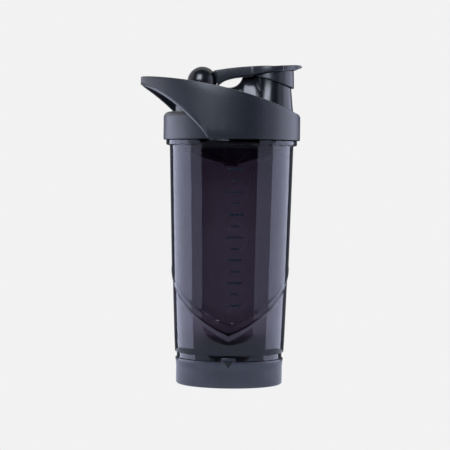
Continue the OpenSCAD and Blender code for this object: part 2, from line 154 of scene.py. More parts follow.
def build(name, verts, faces):
    """A mesh object from points in millimetres, its faces turned outwards."""
    mesh = bpy.data.meshes.new(name)
    mesh.from_pydata((np.asarray(verts, float) * MM).tolist(), [], faces)
    bm = bmesh.new()
    bm.from_mesh(mesh)
    bmesh.ops.recalc_face_normals(bm, faces=bm.faces)
    bm.to_mesh(mesh)
    bm.free()
    obj = bpy.data.objects.new(name, mesh)
    bpy.context.scene.collection.objects.link(obj)
    return obj


def skin(name, rings, closed=False):
    """A closed skin over rings of equal length; open ends are closed by fans."""
    count = len(rings[0])
    verts = [p for ring in rings for p in np.asarray(ring, float)]
    faces = []
    last = len(rings) if closed else len(rings) - 1
    for k in range(last):
        a, b = k * count, (k + 1) % len(rings) * count
        faces += [(a + j, a + (j + 1) % count, b + (j + 1) % count, b + j) for j in range(count)]
    if not closed:
        for k in (0, len(rings) - 1):
            hub = len(verts)
            verts.append(np.mean(np.asarray(rings[k], float), axis=0))
            base = k * count
            faces += [(hub, base + (j + 1) % count, base + j) for j in range(count)]
    return build(name, verts, faces)


def circle_angles(count=ROUND):
    return np.arange(count) * 2 * math.pi / count


def ring_points(r, z, count=ROUND, centre=(0.0, 0.0)):
    """One ring about a vertical axis; r and z may vary round it."""
    a = circle_angles(count)
    return np.stack([centre[0] + r * np.cos(a), centre[1] + r * np.sin(a), z + 0 * a], axis=1)


def revolve(name, path, count=ROUND, centre=(0.0, 0.0)):
    """A solid of revolution from (radius, height) pairs."""
    return skin(name, [ring_points(r, z, count, centre) for r, z in path])


def on_hinge(name, path, count=HINGE_ROUND):
    """A solid of revolution about the cap's hinge axis, from (radius, way along Y) pairs."""
    obj = revolve(name, path, count)
    for v in obj.data.vertices:
        px, py, pz = v.co
        v.co = (HINGE_X * MM + px, -pz, HINGE_Z * MM + py)
    obj.data.update()
    return obj


def arc(cx, cz, r, a0, a1, steps=6):
    """Points of an arc in the radius-height plane, angles in degrees."""
    return [(cx + r * math.cos(math.radians(a0 + (a1 - a0) * k / steps)),
             cz + r * math.sin(math.radians(a0 + (a1 - a0) * k / steps)))
            for k in range(steps + 1)]


def combine(target, tool, how):
    """Boolean of two closed meshes into the first; the second is used up."""
    mod = target.modifiers.new("cut", "BOOLEAN")
    mod.object = tool
    mod.operation = how
    mod.solver = "EXACT"
    graph = bpy.context.evaluated_depsgraph_get()
    mesh = bpy.data.meshes.new_from_object(target.evaluated_get(graph))
    target.modifiers.clear()
    target.data = mesh
    bpy.data.objects.remove(tool)
    return target


def turned(obj, degrees=FRONT_TURN):
    """Turns a finished mesh about the bottle's axis."""
    obj.data.transform(Matrix.Rotation(math.radians(degrees), 4, "Z"))
    return obj


def union(target, tool):
    return combine(target, tool, "UNION")


def cut(target, tool):
    return combine(target, tool, "DIFFERENCE")


def bezier2(a, b, c, steps=40):
    t = np.linspace(0, 1, steps + 1)[:, None]
    a, b, c = (np.array(p, float) for p in (a, b, c))
    return a * (1 - t) ** 2 + b * 2 * t * (1 - t) + c * t ** 2


def smooth_step(t):
    t = np.clip(t, 0, 1)
    return t * t * (3 - 2 * t)


def dress(mesh, material):
    """Gives a whole mesh one material."""
    mesh.materials.clear()
    mesh.materials.append(material)
    for poly in mesh.polygons:
        poly.material_index = 0


def finish_piece(obj, material, body, stands_for=(), sharp_deg=32):
    """Shading, material and frame facts of a finished piece."""
    dress(obj.data, material)
    for poly in obj.data.polygons:
        poly.use_smooth = True
    obj.data.set_sharp_from_angle(angle=math.radians(sharp_deg))
    if stands_for:
        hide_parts(*stands_for)
    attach(obj, body)


# ---- materials ----

class Nodes:
    """Short calls for building a node tree."""

    def __init__(self, name):
        self.material = bpy.data.materials.new(name)
        self.material.use_nodes = True
        self.tree = self.material.node_tree
        self.shader = self.tree.nodes["Principled BSDF"]
        self.coords = self.tree.nodes.new("ShaderNodeTexCoord").outputs["Object"]

    def set(self, **values):
        for key, value in values.items():
            self.shader.inputs[key.replace("_", " ")].default_value = value

    def noise(self, scale, detail, stretch=(1, 1, 1)):
        mapping = self.tree.nodes.new("ShaderNodeMapping")
        mapping.inputs["Scale"].default_value = stretch
        self.tree.links.new(self.coords, mapping.inputs["Vector"])
        node = self.tree.nodes.new("ShaderNodeTexNoise")
        node.inputs["Scale"].default_value = scale
        node.inputs["Detail"].default_value = detail
        self.tree.links.new(mapping.outputs["Vector"], node.inputs["Vector"])
        return node.outputs["Fac"]

    def span(self, value, low, high):
        """Spreads a noise, which seldom leaves 0.3 to 0.7, over low to high."""
        node = self.tree.nodes.new("ShaderNodeMapRange")
        node.inputs["From Min"].default_value = 0.3
        node.inputs["From Max"].default_value = 0.7
        node.inputs["To Min"].default_value = low
        node.inputs["To Max"].default_value = high
        self.tree.links.new(value, node.inputs["Value"])
        return node.outputs["Result"]

    def colours(self, value, low, high):
        node = self.tree.nodes.new("ShaderNodeMix")
        node.data_type = "RGBA"
        node.inputs["A"].default_value = (*low, 1)
        node.inputs["B"].default_value = (*high, 1)
        self.tree.links.new(self.span(value, 0, 1), node.inputs["Factor"])
        self.tree.links.new(node.outputs["Result"], self.shader.inputs["Base Color"])

    def roughness(self, value, low, high):
        self.tree.links.new(self.span(value, low, high), self.shader.inputs["Roughness"])

    def bump(self, value, distance, strength):
        node = self.tree.nodes.new("ShaderNodeBump")
        node.inputs["Distance"].default_value = distance * MM
        node.inputs["Strength"].default_value = strength
        self.tree.links.new(value, node.inputs["Height"])
        self.tree.links.new(node.outputs["Normal"], self.shader.inputs["Normal"])


def smoke_plastic():
    """See-through smoke copolyester: the colour is in its depth, with faint flow marks and
    handling haze on the surface."""
    n = Nodes("smoke_plastic")
    n.set(IOR=1.52, Transmission_Weight=1.0, Specular_Tint=(0.88, 0.90, 1.0, 1))
    n.colours(n.noise(60, 2, (1, 1, 0.25)), (0.93, 0.93, 0.95), (0.97, 0.97, 0.99))
    n.roughness(n.noise(140, 5, (1, 1, 0.5)), 0.02, 0.07)
    n.bump(n.noise(90, 2, (1, 1, 0.3)), 0.015, 0.3)
    depth = n.tree.nodes.new("ShaderNodeVolumeAbsorption")
    depth.inputs["Color"].default_value = (0.16, 0.085, 0.22, 1)
    depth.inputs["Density"].default_value = 960.0
    n.tree.links.new(depth.outputs["Volume"], n.tree.nodes["Material Output"].inputs["Volume"])
    return n.material


def foot_plastic():
    """The cup's smoke plastic has a satin outside, so it looks nearly opaque."""
    n = Nodes("smoke_plastic_foot")
    n.set(IOR=1.5, Transmission_Weight=0.05)
    n.colours(n.noise(60, 4, (1, 1, 0.3)), (0.032, 0.034, 0.046), (0.042, 0.044, 0.060))
    n.roughness(n.noise(140, 5), 0.20, 0.27)
    n.bump(n.noise(400, 2), 0.01, 0.2)
    return n.material


def matt_plastic():
    """Spark-eroded matt moulding: a fine even grain that breaks up the sheen."""
    n = Nodes("matt_grain_plastic")
    n.set(IOR=1.5)
    n.colours(n.noise(700, 4), (0.011, 0.013, 0.018), (0.018, 0.021, 0.028))
    n.roughness(n.noise(45, 4), 0.36, 0.41)
    n.bump(n.noise(2600, 3), 0.05, 0.55)
    return n.material


def satin_plastic():
    """The flip cap's finer, slightly shinier grain."""
    n = Nodes("satin_plastic")
    n.set(IOR=1.5)
    n.colours(n.noise(500, 4), (0.014, 0.016, 0.021), (0.020, 0.022, 0.029))
    n.roughness(n.noise(60, 4), 0.26, 0.36)
    n.bump(n.noise(2200, 3), 0.02, 0.4)
    return n.material


def gloss_plastic():
    """Polished black moulding with a trace of orange peel and wipe marks."""
    n = Nodes("gloss_black_plastic")
    n.set(IOR=1.52)
    n.colours(n.noise(80, 3), (0.006, 0.007, 0.010), (0.010, 0.011, 0.014))
    n.roughness(n.noise(160, 5, (1, 2.5, 1)), 0.20, 0.27)
    n.bump(n.noise(240, 2), 0.01, 0.3)
    return n.material


def grid_plastic():
    """Half-clear plastic of the mixing grid."""
    n = Nodes("grid_plastic")
    n.set(IOR=1.5, Transmission_Weight=0.6)
    n.colours(n.noise(300, 3), (0.40, 0.37, 0.43), (0.50, 0.46, 0.53))
    n.roughness(n.noise(120, 3), 0.28, 0.4)
    n.bump(n.noise(1500, 2), 0.02, 0.4)
    return n.material


def marks_painted_shade():
    """Dark satin colour on the raised graduation marks: painted shade, standing for the darker look
    of the clear moulded relief.
    """
    n = Nodes("marks_painted_shade")
    n.set(IOR=1.5)
    n.colours(n.noise(900, 3), (0.006, 0.009, 0.017), (0.012, 0.016, 0.027))
    n.roughness(n.noise(300, 3), 0.24, 0.36)
    n.bump(n.noise(1500, 2), 0.01, 0.4)
    return n.material


def silicone():
    """Soft matt rubber of the rings and the cap's pad."""
    n = Nodes("dark_silicone")
    n.set(IOR=1.41)
    n.colours(n.noise(200, 3), (0.035, 0.035, 0.04), (0.05, 0.05, 0.056))
    n.roughness(n.noise(150, 3), 0.5, 0.68)
    n.bump(n.noise(1800, 2), 0.02, 0.5)
    return n.material


def ground_steel():
    """Ground along its axis, which is Y."""
    n = Nodes("ground_steel")
    n.set(Metallic=1.0)
    n.colours(n.noise(900, 3, (1, 0.05, 1)), (0.52, 0.52, 0.54), (0.66, 0.66, 0.68))
    n.roughness(n.noise(1200, 3, (1, 0.05, 1)), 0.2, 0.34)
    n.bump(n.noise(1500, 2, (1, 0.05, 1)), 0.01, 0.4)
    return n.material


SMOKE = smoke_plastic()
SMOKE_FOOT = foot_plastic()
MATT = matt_plastic()
SATIN = satin_plastic()
GLOSS = gloss_plastic()
GRID = grid_plastic()
SILICONE = silicone()
STEEL = ground_steel()
MARKS_PAINTED_SHADE = marks_painted_shade()


# ---- bottle ----

def front_angle():
    """Degrees from the nearer of the front and the back, round the ring."""
    a = np.degrees(circle_angles()) - FRONT_TURN
    return np.minimum(np.abs((a + 90 + 180) % 360 - 180), np.abs((a - 90 + 180) % 360 - 180))


def raised_r(z):
    """Radius of the raised shield's surface."""
    ring_taper = 2.35
    return SHOULDER_R - (FLANGE_Z - z) * ring_taper / (FLANGE_Z - SHIELD_HIGH)


def recessed_r(z):
    """Radius of the body's surface below and beside the shield."""
    return np.interp(z, [BODY_Z + 0.6, SHIELD_LOW, SHIELD_HIGH + 4],
                     [FOOT_R, raised_r(SHIELD_LOW) - 1.0, raised_r(SHIELD_HIGH + 4) - 0.5])


def thread_relief(z, thread, z0, a0, a1):
    """How far a two-start thread stands out at height z, all round the ring; it starts at
    height z0 and runs from angle a0 to a1."""
    depth, foot, crest, lead = thread
    relief = np.zeros(ROUND)
    for start in (0, 180):
        for wrap in (-360, 0, 360):
            a = np.degrees(circle_angles()) - start + wrap
            off = np.abs(z - (z0 + lead * a / 360))
            ridge = smooth_step((foot / 2 - off) / ((foot - crest) / 2))
            run = smooth_step(np.minimum(a - a0, a1 - a) / 14)
            relief = np.maximum(relief, depth * ridge * run)
    return relief


def bottle_body():
    """The whole bottle as one skin, from the recess under the spigot up the outside, over the
    rim and down the inside to the floor."""
    angle = front_angle()
    share = angle / 90
    edge = SHIELD_LOW + (SHIELD_HIGH - SHIELD_LOW) * (0.68 * share + 0.32 * share ** 2)
    bevel = 1.5 + 2.0 * np.exp(-angle / 35)
    border = 4.6 + 3.1 * np.exp(-angle / 35)
    panel = PANEL_SINK * smooth_step((78 - angle) / 40)
    rings = []

    def add(r, z):
        rings.append(ring_points(r, z))

    recess_z = SPIGOT_Z + 1.5
    for r, z in [(4, recess_z), (20, recess_z), (SPIGOT_IN_R - 0.6, recess_z),
                 (SPIGOT_IN_R, recess_z - 0.4), (SPIGOT_IN_R, SPIGOT_Z + 0.3),
                 (SPIGOT_IN_R + 0.3, SPIGOT_Z), (SPIGOT_R - 0.4, SPIGOT_Z)]:
        add(r, z)
    for z in np.arange(SPIGOT_Z + 0.3, CUP_H - 0.1, 0.3):
        add(SPIGOT_R + thread_relief(z, BASE_THREAD, BASE_THREAD_Z, 0, 240), z)
    for r, z in [(SPIGOT_R, CUP_H), (SPIGOT_R + 0.3, CUP_H + 0.2), (GROOVE_R - 0.2, CUP_H + 0.2),
                 (GROOVE_R, CUP_H + 0.4), (GROOVE_R, BODY_Z - 0.3), (GROOVE_R + 0.3, BODY_Z),
                 (FOOT_R - 0.45, BODY_Z), (FOOT_R - 0.1, BODY_Z + 0.15)]:
        add(r, z)

    low_z = BODY_Z + 0.6
    for t in np.linspace(0, 1, 9):
        z = low_z + t * (edge - 0.5 - low_z)
        add(recessed_r(z), z)
    crest = 0.28
    for t in (0.0, 0.12, 0.3, 0.5, 0.7, 0.88, 1.0):
        z = edge + t * bevel
        add(recessed_r(z) + (raised_r(z) + crest - recessed_r(z)) * (0.85 * t + 0.15 * t * t), z)
    top = edge + bevel
    for t, lift in ((0.25, crest), (0.6, crest * 0.75), (1.0, crest * 0.2), (1.5, 0), (2.4, 0)):
        z = top + t
        add(raised_r(z) + lift, z)
    inner = top + border
    for t, sink in ((-0.7, 0), (-0.1, 0.05), (0.35, 0.5), (0.8, 0.95), (1.4, 1.0)):
        z = inner + t
        add(raised_r(z) - sink * panel, z)
    calm_z = 112.0
    for t in (0.1, 0.25, 0.45, 0.7, 1.0):
        z = inner + 1.4 + t * (calm_z - inner - 1.4)
        add(raised_r(z) - panel, z)
    for z in np.arange(calm_z + 6, FLANGE_Z - 2, 6):
        fade = smooth_step((FLANGE_Z - 8 - z) / 30)
        add(raised_r(z) - panel * fade, z)
    for r, z in [(SHOULDER_R, FLANGE_Z - 1), (SHOULDER_R + 0.12, FLANGE_Z - 0.35),
                 (SHOULDER_R + 0.55, FLANGE_Z), (FLANGE_R - 0.9, FLANGE_Z),
                 (FLANGE_R - 0.25, FLANGE_Z + 0.3), (FLANGE_R, FLANGE_Z + 0.85),
                 (FLANGE_R, NECK_Z - 0.5), (FLANGE_R - 0.15, NECK_Z - 0.12),
                 (FLANGE_R - 0.5, NECK_Z), (NECK_R + 0.6, NECK_Z), (NECK_R + 0.15, NECK_Z + 0.15),
                 (NECK_R, NECK_Z + 0.6)]:
        add(r, z)
    for z in np.arange(NECK_Z + 0.9, RIM_Z - 0.6, 0.35):
        add(NECK_R + thread_relief(z, LID_THREAD, LID_THREAD_Z, 0, 250), z)
    for r, z in [(NECK_R, RIM_Z - 0.5), (NECK_R - 0.15, RIM_Z - 0.12), (NECK_R - 0.5, RIM_Z),
                 (NECK_IN_R + 0.5, RIM_Z), (NECK_IN_R + 0.15, RIM_Z - 0.12),
                 (NECK_IN_R, RIM_Z - 0.5), (NECK_IN_R, NECK_Z - 1), (NECK_IN_R + 0.1, NECK_Z - 1.7),
                 (SHOULDER_R - 2.4, FLANGE_Z - 2.6), (SHOULDER_R - 2.3, FLANGE_Z - 3.6)]:
        add(r, z)
    low_in_r = CUP_R - 1.2
    for z in (150, 130, 110, 90, 70, 55, 44, 37):
        add(raised_r(z) - WALL_T - 0.5 * float(smooth_step((44 - z) / 12)), z)
    add(low_in_r, BODY_Z + 6.5)
    bend = 6.0
    for r, z in arc(SPIGOT_IN_R - bend, FLOOR_Z + bend, bend, 0, -90, 8):
        add(r, z)
    for r in (18, 9, 3):
        add(r, FLOOR_Z)
    return skin("bottle_body", rings)


def front_bar(z, width, height, proud):
    """Rings of one raised bar on the front panel, its ends rounded off."""
    columns = 18
    rows = []
    for k in range(columns + 1):
        x = -width / 2 + width * k / columns
        near_end = min(1.0, (width / 2 - abs(x)) / (height / 2))
        half = height / 2 * math.sqrt(max(0.02, 1 - (1 - near_end) ** 2))
        ring = []
        for dz, out in ((-half, 0), (-half * 0.75, proud), (0, proud * 1.15),
                        (half * 0.75, proud), (half, 0)):
            r = raised_r(z + dz) - PANEL_SINK + 0.012 + out
            ring.append((x, -math.sqrt(r * r - x * x), z + dz))
        rows.append(ring)
    return rows


def front_bars():
    """Long and short bars in turn up the front panel. They are decoration: their spacing
    stands for no volume."""
    verts, faces = [], []
    first_z, step_z, count = 56.0, 7.6, 13
    long_w, short_w, bar_h, proud = 11.0, 6.5, 1.6, 0.32
    for k in range(count):
        z = first_z + k * step_z
        rows = front_bar(z, long_w if k % 2 == 0 else short_w, bar_h, proud)
        size = len(rows[0])
        base = len(verts)
        verts += [p for ring in rows for p in ring]
        for i in range(len(rows) - 1):
            a, b = base + i * size, base + (i + 1) * size
            faces += [(a + j, b + j, b + (j + 1) % size, a + (j + 1) % size) for j in range(size)]
        faces.append(tuple(base + j for j in range(size)))
        faces.append(tuple(base + (len(rows) - 1) * size + j for j in reversed(range(size))))
    return turned(build("graduation_marks", verts, faces), MARK_TURN)


# ---- base cup ----

def base_cup():
    """The cup as one skin, from its underside up the outside and down the threaded inside."""
    path = [(CUP_R - 15, 0), (CUP_R - 14.3, 0.1), (CUP_R - 14, 0.55), (CUP_R - 8, 0.55),
            (CUP_R - 7.7, 0.1), (CUP_R - 7, 0), (CUP_R - 1.5, 0)]
    path += arc(CUP_R - 1.5, 1.5, 1.5, -78, 0, 6)
    path += [(CUP_R, 4), (CUP_R, 8), (CUP_R, CUP_H - 6.5), (CUP_R + 0.02, CUP_H - 5.5),
             (CUP_R + 0.25, CUP_H - 3), (CUP_RIM_R - 0.04, CUP_H - 0.6),
             (CUP_RIM_R - 0.12, CUP_H - 0.18), (CUP_RIM_R - 0.4, CUP_H),
             (CUP_IN_R + 0.4, CUP_H), (CUP_IN_R + 0.1, CUP_H - 0.15), (CUP_IN_R, CUP_H - 0.5)]
    rings = [ring_points(r, z) for r, z in [(3, 0), (10, 0)] + path]
    z0 = BASE_THREAD_Z + BASE_LEAD / 4
    for z in np.arange(CUP_H - 0.8, SPIGOT_Z + 0.2, -0.3):
        rings.append(ring_points(
            CUP_IN_R - thread_relief(z, BASE_THREAD, z0, -90, 150), z))
    ledge_z = SPIGOT_Z - SEAL_T
    floor_z = 2.0
    rings += [ring_points(r, z) for r, z in
              [(CUP_IN_R, SPIGOT_Z), (CUP_IN_R, ledge_z), (SPIGOT_IN_R + 0.3, ledge_z),
               (SPIGOT_IN_R, ledge_z - 0.3), (SPIGOT_IN_R, floor_z + 1.6)]
              + arc(SPIGOT_IN_R - 1.5, floor_z + 1.5, 1.5, 0, -90, 5)
              + [(20, floor_z), (10, floor_z), (3, floor_z)]]
    cup = skin("base_cup_body", rings)
    union(cup, marker_tab())
    cut(cup, arrow_prism(CUP_RIM_R - 0.5, 6.0, "arrow_cut"))
    return cup


def marker_tab():
    """The tab that stands on the cup's rim at the front, its top corners rounded."""
    half_w, low_z, inner_r = 4.85, CUP_H - 1.0, CUP_RIM_R - 0.8
    rings = []
    for k in range(25):
        x = half_w * math.cos(math.pi * k / 24)
        near = min(1.0, (half_w - abs(x)) / 0.9)
        top = TAB_TOP_Z - 0.9 * (1 - math.sqrt(max(0.0, 1 - (1 - near) ** 2)))
        ring = []
        for r, z in ((inner_r, low_z), (CUP_RIM_R - 0.03, low_z), (CUP_RIM_R - 0.03, top - 0.3),
                     (CUP_RIM_R - 0.12, top - 0.08), (CUP_RIM_R - 0.3, top), (inner_r, top)):
            ring.append((x, -math.sqrt(r * r - x * x), z))
        rings.append(ring)
    return turned(skin("marker_tab", rings))


def arrow_prism(r_in, depth, name):
    """Triangular prism, point down, that runs outwards from radius r_in at the front."""
    top, half_w, height = CUP_H + 0.9, 3.4, 5.0
    soft = 0.35
    corners = [(-half_w, top - soft), (-half_w + soft * 1.6, top), (half_w - soft * 1.6, top),
               (half_w, top - soft), (soft, top - height + soft * 0.6), (0, top - height),
               (-soft, top - height + soft * 0.6)]
    rings = [[(x, -r_in - d, z) for x, z in corners] for d in (0, depth)]
    return turned(skin(name, rings))


# ---- lid shell ----

def loop_top(x):
    """Height of the lid shell's upper edge, from the loop's tip to the spout's side."""
    curve = bezier2((LOOP_TIP_X, LOOP_TIP_Z), (-5.4, SHELL_Z + 18.6), (SHELL_R + 1, SHELL_Z - 2.8))
    return np.interp(x, curve[:, 0], curve[:, 1])


def loop_low(x):
    """Height of the loop's lower edge where it reaches out past the lid."""
    curve = bezier2((LOOP_TIP_X, LOOP_TIP_Z - LOOP_TIP_H), (LOOP_ROOT_X - 21.6, SHELL_Z + 7.5),
                    (LOOP_ROOT_X, LID_Z))
    return np.interp(x, curve[:, 0], curve[:, 1])


def loop_outline():
    """The loop's outer outline from above as a closed run of points, with outward normals."""
    t = np.linspace(0, 1, 110)[:, None]
    p = [np.array(v, float) for v in ((0, SHELL_R), (LOOP_BULGE_X, SHELL_R),
                                      (LOOP_TIP_X, LOOP_ROUND), (LOOP_TIP_X, 0))]
    left = (p[0] * (1 - t) ** 3 + p[1] * 3 * t * (1 - t) ** 2
            + p[2] * 3 * t ** 2 * (1 - t) + p[3] * t ** 3)
    a = np.linspace(0, math.pi / 2, 70)[:-1, None]
    right = np.hstack([SHELL_R * np.cos(a), SHELL_R * np.sin(a)])
    half = np.vstack([right, left])
    points = np.vstack([half, (half * [1, -1])[-2:0:-1]])
    ahead, behind = np.roll(points, -1, axis=0), np.roll(points, 1, axis=0)
    along = ahead - behind
    normals = np.stack([along[:, 1], -along[:, 0]], axis=1)
    return points, normals / np.linalg.norm(normals, axis=1)[:, None]


def loop_band():
    """The wall that rises round the deck and sweeps out into the carry loop."""
    points, normals = loop_outline()
    rings = []
    for (x, y), (nx, ny) in zip(points, normals):
        wall = 2.2 + 0.8 * float(smooth_step(-x / 22))
        top = float(loop_top(x))
        low = LID_Z if x > LOOP_ROOT_X else max(float(loop_low(x)), LID_Z)
        free = float(smooth_step((LOOP_ROOT_X - x) / 6))
        r, c = 0.7, 0.5 + 1.1 * free      # upper rounding and lower chamfer
        section = [(0, low + 1.4 * c), (0.12 * c, low + 1.12 * c),
                   (0.8 * c, low + 0.16 * c), (c, low), (wall - 0.4, low),
                   (wall - 0.1, low + 0.1), (wall, low + 0.4)]
        section += [(wall, low + (top - low) * f) for f in (0.25, 0.5, 0.75)]
        section += [(wall, top - r), (wall - 0.2 * r, top - 0.35 * r), (wall - 0.6 * r, top),
                    (r * 1.1, top), (r * 0.5, top - 0.22 * r), (r * 0.12, top - 0.6 * r),
                    (0, top - 1.2 * r)]
        section += [(0, top + (low - top) * f) for f in (0.2, 0.4, 0.6, 0.8)]
        rings.append([(x - nx * d, y - ny * d, z) for d, z in section])
    return skin("lid_shell_body", rings, closed=True)


def deck_cutter(r, recess, z0, z1, name):
    """Prism of the raised deck's plan: a circle less the finger recess."""
    block = revolve(name, [(r, z0), (r, z1)])
    return cut(block, revolve("recess", [(recess, z0 - 1), (recess, z1 + 1)],
                              RECESS_ROUND, (RECESS_X, 0)))


def shell_drum():
    """The round part of the lid shell, with its top plate round the deck."""
    r = SHELL_R - 0.06
    fillet = 3.6
    path = [(20, LID_Z), (SHELL_IN_R - 2, LID_Z), (r - 0.5, LID_Z), (r - 0.1, LID_Z + 0.15),
            (r, LID_Z + 0.5), (r, LID_Z + 8)]
    path += arc(r - fillet, SHELL_Z - fillet, fillet, 0, 90, 10)
    path += [(36, SHELL_Z), (20, SHELL_Z)]
    drum = revolve("shell_drum", path)
    cut(drum, revolve("bore", [(SHELL_IN_R, LID_Z - 1), (SHELL_IN_R, DECK_Z)]))
    return cut(drum, deck_cutter(SHELL_IN_R, FINGER_R - 0.05, LID_Z + 2, SHELL_Z + 4,
                                 "deck_bore"))


def lid_shell():
    return union(loop_band(), shell_drum())


# ---- inner lid ----

def deck_z(x, drop=DECK_DROP):
    """Height of the sloping deck, which follows the shell's edge at a fixed drop."""
    return np.maximum(loop_top(x) - drop, DECK_Z + DECK_DROP - drop)


def deck_block(r, recess, drop, z0, edge, name):
    """Drum with the sloping deck as its top, less the finger recess."""
    a = circle_angles()
    rings = [ring_points(q, z0) for q in (r * 0.3, r)]
    for angle in (0, 22, 45, 67, 90):
        q = r - edge + edge * math.cos(math.radians(angle))
        lift = edge * math.sin(math.radians(angle)) - edge
        rings.append(ring_points(q, deck_z(q * np.cos(a), drop) + lift))
    for q in np.linspace(r - edge, r * 0.05, 14)[1:]:
        rings.append(ring_points(q, deck_z(q * np.cos(a), drop)))
    block = skin(name, rings)
    return cut(block, revolve("recess", [(recess, z0 - 3), (recess, SHELL_Z + 40)],
                              RECESS_ROUND, (RECESS_X, 0)))


def lid_ring():
    """The threaded skirt, the roof's rim and the plug ring, as one ring."""
    z0 = LID_THREAD_Z + LID_LEAD / 4
    rings = [ring_points(r, z) for r, z in
             [(PLUG_IN_R - 1, DECK_Z + 0.8), (PLUG_IN_R - 1, ROOF_Z), (PLUG_IN_R, ROOF_Z),
              (PLUG_IN_R, PLUG_Z + 0.3), (PLUG_IN_R + 0.3, PLUG_Z), (PLUG_R - 0.4, PLUG_Z),
              (PLUG_R, PLUG_Z + 0.5), (PLUG_R, ROOF_Z), (SKIRT_IN_R, ROOF_Z)]]
    for z in np.arange(ROOF_Z - 0.4, LID_Z + 0.6, -0.35):
        rings.append(ring_points(
            SKIRT_IN_R - thread_relief(z, LID_THREAD, z0, -90, 160), z))
    rings += [ring_points(r, z) for r, z in
              [(SKIRT_IN_R, LID_Z + 0.4), (SKIRT_IN_R + 0.3, LID_Z), (CORE_R - 0.3, LID_Z),
               (CORE_R, LID_Z + 0.3), (CORE_R, DECK_Z + 0.3), (CORE_R - 0.5, DECK_Z + 0.8)]]
    return skin("lid_core_body", rings, closed=True)


def spout():
    """The spout with its rolled lip and a fillet that follows the sloping deck."""
    a = circle_angles()
    low = SPOUT_R + SPOUT_FLARE
    fillet = 2.6
    rings = [ring_points(low + fillet + 0.2, ROOF_Z + 1.2, centre=(SPOUT_X, 0))]
    for t in (90, 75, 60, 45, 30, 15, 0):
        r = low + fillet * (1 - math.cos(math.radians(t)))
        foot = deck_z(SPOUT_X + r * np.cos(a)) - 0.02
        rings.append(ring_points(
            r, foot + fillet * (1 - math.sin(math.radians(t))), centre=(SPOUT_X, 0)))
    foot = deck_z(SPOUT_X + low * np.cos(a)) + fillet
    straight_z = SPOUT_Z - 8
    for t in (0.35, 0.7, 1.0):
        rings.append(ring_points(low + (SPOUT_R + 0.15 - low) * t,
                                 foot + (straight_z - foot) * t, centre=(SPOUT_X, 0)))
    lip = 2.0
    path = [(SPOUT_R + 0.05, SPOUT_Z - lip - 2)]
    path += arc(SPOUT_R - lip, SPOUT_Z - lip, lip, 0, 90, 10)
    path += [(MOUTH_R + 2, SPOUT_Z), (MOUTH_R * 0.5, SPOUT_Z)]
    rings += [ring_points(r, z, centre=(SPOUT_X, 0)) for r, z in path]
    return skin("spout", rings)


def ramp():
    """The saddle from the ball along the deck, which opens out into the spout's back."""
    foot, play = HINGE_Z - 4, 0.35
    knee_x = HINGE_X + 28
    sweep = bezier2((HINGE_X + 18, foot), (HINGE_X + 25.4, foot),
                    (knee_x, arm_low(knee_x) - play), 28)
    crown = [(x, arm_low(x) - play) for x in np.linspace(knee_x + 1.2, SPOUT_X - 12, 5)]
    outline = np.vstack([[(HINGE_X + 2, foot)], sweep, crown, [(SPOUT_X - 9, SPOUT_Z - 3)]])
    rings = []
    for x, top in outline:
        flare = float(smooth_step((x - SPOUT_X + 26) / 17))
        half = 7.0 + 5.2 * flare
        floor = float(deck_z(x)) - 0.9
        height = top - floor
        section = []
        for t in np.linspace(0, 1, 12):
            belly = math.sqrt(max(0.0, 1 - (max(0.0, t - 0.15) / 0.85) ** 2.1))
            straight = 1 - 0.06 * t
            section.append((-half * (belly * 0.75 + 0.25 * (1 - t ** 6)) * straight,
                            floor + height * t))
        section += [(-y, z) for y, z in reversed(section)]
        rings.append([(x, y, z) for y, z in section])
    return skin("ramp", rings)


def ball():
    """The hinge ball, its poles along Y."""
    steps = 64
    path = [(BALL_R * math.sin(math.pi * k / steps), -BALL_R * math.cos(math.pi * k / steps))
            for k in range(1, steps)]
    return on_hinge("ball", path)


def pin_hole():
    """Bore for the pin, blind at its far end."""
    depth = 2 * BALL_R - 1.5
    r = PIN_R + 0.05
    return on_hinge("pin_hole", [(r, -BALL_R - 1), (r, depth - BALL_R - 1)], PIN_ROUND)


def tongue_slot():
    r, half_w = BALL_R + 0.6, TONGUE_W / 2 + 0.2
    return on_hinge("slot", [(r, -half_w), (r, half_w)], 192)


def lid_core():
    """The inner lid, joined from its ring, deck, ramp, spout and ball and then bored."""
    core = lid_ring()
    deck = deck_block(CORE_R - 0.02, FINGER_R, DECK_DROP, DECK_Z - 1.4, 0.7, "deck")
    hollow = deck_block(CORE_R - 1.8, FINGER_R + 1.8, DECK_DROP + ROOF_T, DECK_Z - 4, 0.3,
                        "hollow")
    cut(hollow, on_hinge("hinge_block", [(BALL_R + 2.6, -12), (BALL_R + 2.6, 12)]))
    cut(deck, hollow)
    union(deck, ramp())
    union(deck, spout())
    union(deck, ball())
    union(core, deck)
    channel_top = SPOUT_Z - 2.0
    cut(core, revolve("channel", [(SPOUT_R - SPOUT_WALL, ROOF_Z - 1),
                                  (SPOUT_R - SPOUT_WALL, channel_top)], 192, (SPOUT_X, 0)))
    mouth = [(MOUTH_R, channel_top - 1), (MOUTH_R, SPOUT_Z - 0.5),
             (MOUTH_R + 0.15, SPOUT_Z - 0.15), (MOUTH_R + 0.5, SPOUT_Z),
             (MOUTH_R + 0.6, SPOUT_Z + 1)]
    cut(core, revolve("mouth", mouth, 128, (SPOUT_X, 0)))
    cut(core, tongue_slot())
    cut(core, pin_hole())
    return core


# ---- flip cap ----

def arm_section(half, low, top, edge):
    """Closed ring of a cross-section in the YZ plane with rounded long edges."""
    edge_y = min(edge, half * 0.9)
    edge_z = min(edge, (top - low) * 0.45)
    ring = []
    for sy, sz in ((-1, -1), (1, -1), (1, 1), (-1, 1)):
        cy, cz = sy * (half - edge_y), (low + edge_z if sz < 0 else top - edge_z)
        base = {(-1, -1): 180, (1, -1): 270, (1, 1): 0, (-1, 1): 90}[(sy, sz)]
        for k in range(7):
            a = math.radians(base + 15 * k)
            ring.append((cy + edge_y * math.cos(a), cz + edge_z * math.sin(a)))
    return ring


